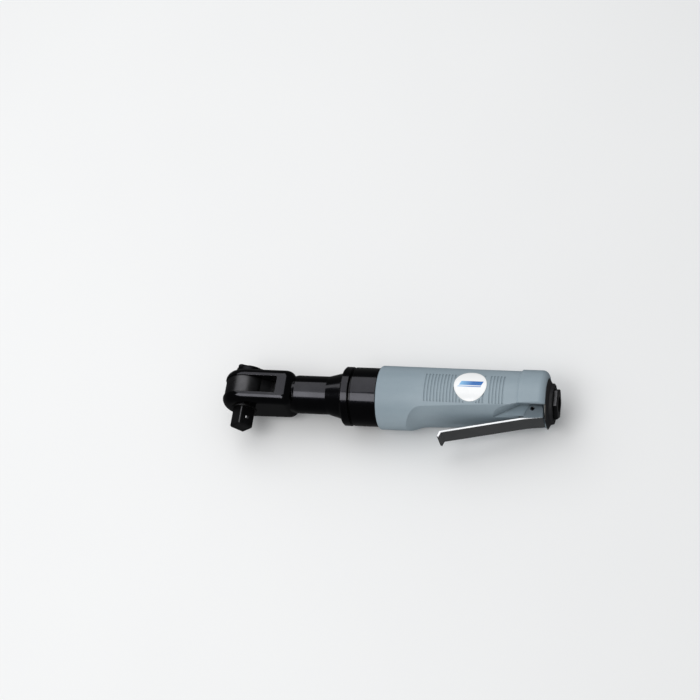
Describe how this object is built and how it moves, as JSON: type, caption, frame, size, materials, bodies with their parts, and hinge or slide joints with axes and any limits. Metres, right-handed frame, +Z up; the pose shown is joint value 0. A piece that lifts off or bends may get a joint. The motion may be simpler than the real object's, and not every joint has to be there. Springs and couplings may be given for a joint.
{
  "type": "air ratchet",
  "caption": "Pneumatic ratchet wrench with a half inch square drive, forked head, planetary gear, vane motor, grip sleeve, throttle lever and rear exhaust.",
  "frame": {"origin": "on the drive axis, at the round shoulder that a socket seats against", "axes": "+X along the tool from the head to the air inlet, -Y out of the square drive, +Z up through the labelled flank as the tool lies"},
  "size_m": [0.2559, 0.058, 0.0488],
  "materials": {
    "black_steel": "gloss black over machined steel",
    "grip_composite": "satin grey-blue moulded composite",
    "chrome_lever": "bright chrome plate",
    "square_steel": "ground and lightly oiled",
    "knob_black": "satin black",
    "inlet_steel": "blackened steel",
    "bright_steel": "ground",
    "spring_steel": "drawn wire",
    "cast_aluminium": "machined casting",
    "bronze": "turned",
    "vane_resin": "phenolic",
    "rubber": "moulded",
    "seat_plastic": "turned acetal",
    "deflector_black": "satin black moulding",
    "felt": "pressed felt",
    "label_white": "printed film"
  },
  "bodies": {
    "tool": {"ratchet_housing": "black_steel", "clamp_nut": "black_steel", "ring_gear": "black_steel", "crank_bushing": "bronze", "carrier_bearing_outer_race": "bright_steel", "thrust_plate": "square_steel", "retaining_ring": "square_steel", "front_end_plate": "cast_aluminium", "front_bearing_outer_race": "bright_steel", "motor_cylinder": "bright_steel", "dowel_pin": "bright_steel", "rear_end_plate": "cast_aluminium", "rear_bearing_outer_race": "bright_steel", "motor_housing": "cast_aluminium", "grip_sleeve": "grip_composite", "lever_pin": "bright_steel", "valve_seat": "seat_plastic", "throttle_spring": "spring_steel", "valve_plug": "bronze", "plug_o_ring": "rubber", "air_inlet_bushing": "inlet_steel", "inlet_o_ring": "rubber", "inlet_screen": "bronze", "muffler_felt": "felt", "label_disc": "label_white"},
    "anvil": {"anvil": "square_steel", "pawl_pin": "bright_steel", "socket_ball_spring": "spring_steel"},
    "knob": {"reverse_knob": "knob_black", "pawl_plunger": "bright_steel", "plunger_spring": "spring_steel"},
    "pawl": {"pawl": "square_steel"},
    "socket_ball": {"socket_ball": "bright_steel"},
    "yoke": {"ratchet_yoke": "square_steel"},
    "crank": {"crankshaft": "bright_steel", "planet_pins": "bright_steel", "carrier_plate": "bright_steel", "carrier_bearing_inner_race": "bright_steel"},
    "roller": {"drive_roller": "bright_steel"},
    "planet_1": {"planet_gear_1": "bright_steel"},
    "planet_2": {"planet_gear_2": "bright_steel"},
    "planet_3": {"planet_gear_3": "bright_steel"},
    "rotor": {"rotor": "bright_steel", "rotor_vanes": "vane_resin", "front_bearing_inner_race": "bright_steel", "rear_bearing_inner_race": "bright_steel"},
    "carrier_balls": {"carrier_bearing_balls": "bright_steel"},
    "front_balls": {"front_bearing_balls": "bright_steel"},
    "rear_balls": {"rear_bearing_balls": "bright_steel"},
    "lever": {"throttle_lever": "chrome_lever"},
    "valve": {"valve_stem": "bright_steel", "valve_ball": "bright_steel"},
    "deflector": {"exhaust_deflector": "deflector_black"}
  },
  "joints": [
    {"name": "anvil_spin", "type": "hinge", "parent": "tool", "child": "anvil", "pos_m": [0, 0.0148, 0], "axis": [0, -1, 0], "continuous": true},
    {"name": "knob_turn", "type": "hinge", "parent": "anvil", "child": "knob", "pos_m": [0, 0.0148, 0], "axis": [0, -1, 0], "range_deg": [0, 60]},
    {"name": "pawl_rock", "type": "hinge", "parent": "anvil", "child": "pawl", "pos_m": [0.0082, 0.0148, 0], "axis": [0, -1, 0], "range_deg": [-12.5, 0]},
    {"name": "socket_ball_press", "type": "slide", "parent": "anvil", "child": "socket_ball", "axis": [-0.766, 0, -0.6428], "range_m": [0, 0.0008], "stiffness_N_per_m": 1500, "springref_m": -0.001},
    {"name": "yoke_swing", "type": "hinge", "parent": "tool", "child": "yoke", "pos_m": [0, 0.0148, 0], "axis": [0, -1, 0], "range_deg": [-3.3, 3.3]},
    {"name": "crank_spin", "type": "hinge", "parent": "tool", "child": "crank", "pos_m": [0.03, 0.0148, 0], "axis": [1, 0, 0], "continuous": true},
    {"name": "roller_spin", "type": "hinge", "parent": "crank", "child": "roller", "pos_m": [0.031, 0.0166, 0], "axis": [1, 0, 0], "continuous": true},
    {"name": "planet_1_spin", "type": "hinge", "parent": "crank", "child": "planet_1", "pos_m": [0.09, 0.0244, 0], "axis": [1, 0, 0], "continuous": true},
    {"name": "planet_2_spin", "type": "hinge", "parent": "crank", "child": "planet_2", "pos_m": [0.09, 0.01, 0.00831], "axis": [1, 0, 0], "continuous": true},
    {"name": "planet_3_spin", "type": "hinge", "parent": "crank", "child": "planet_3", "pos_m": [0.09, 0.01, -0.00831], "axis": [1, 0, 0], "continuous": true},
    {"name": "rotor_spin", "type": "hinge", "parent": "tool", "child": "rotor", "pos_m": [0.12, 0.0148, 0], "axis": [1, 0, 0], "continuous": true},
    {"name": "carrier_balls_roll", "type": "hinge", "parent": "tool", "child": "carrier_balls", "pos_m": [0.074, 0.0148, 0], "axis": [1, 0, 0], "continuous": true},
    {"name": "front_balls_roll", "type": "hinge", "parent": "tool", "child": "front_balls", "pos_m": [0.1027, 0.0148, 0], "axis": [1, 0, 0], "continuous": true},
    {"name": "rear_balls_roll", "type": "hinge", "parent": "tool", "child": "rear_balls", "pos_m": [0.1512, 0.0148, 0], "axis": [1, 0, 0], "continuous": true},
    {"name": "lever_press", "type": "hinge", "parent": "tool", "child": "lever", "pos_m": [0.2205, 0.0068, 0], "axis": [0, 0, -1], "range_deg": [0, 7.5], "stiffness_Nm_per_rad": 0.5, "springref_deg": -5.73},
    {"name": "valve_lift", "type": "slide", "parent": "tool", "child": "valve", "axis": [0, 1, 0], "range_m": [0, 0.0026], "deforming": ["throttle_spring"]},
    {"name": "deflector_turn", "type": "hinge", "parent": "tool", "child": "deflector", "pos_m": [0.233, 0.0148, 0], "axis": [1, 0, 0], "continuous": true}
  ],
  "couplings": [
    {"joint": "pawl_rock", "follows": "knob_turn", "ratio": -0.2},
    {"joint": "roller_spin", "follows": "crank_spin", "ratio": -1},
    {"joint": "planet_1_spin", "follows": "crank_spin", "ratio": -3},
    {"joint": "planet_2_spin", "follows": "crank_spin", "ratio": -3},
    {"joint": "planet_3_spin", "follows": "crank_spin", "ratio": -3},
    {"joint": "rotor_spin", "follows": "crank_spin", "ratio": 4},
    {"joint": "carrier_balls_roll", "follows": "crank_spin", "ratio": 0.4056},
    {"joint": "front_balls_roll", "follows": "crank_spin", "ratio": 1.6},
    {"joint": "rear_balls_roll", "follows": "crank_spin", "ratio": 1.6},
    {"joint": "valve_lift", "follows": "lever_press", "m_per_rad": 0.0169}
  ]
}
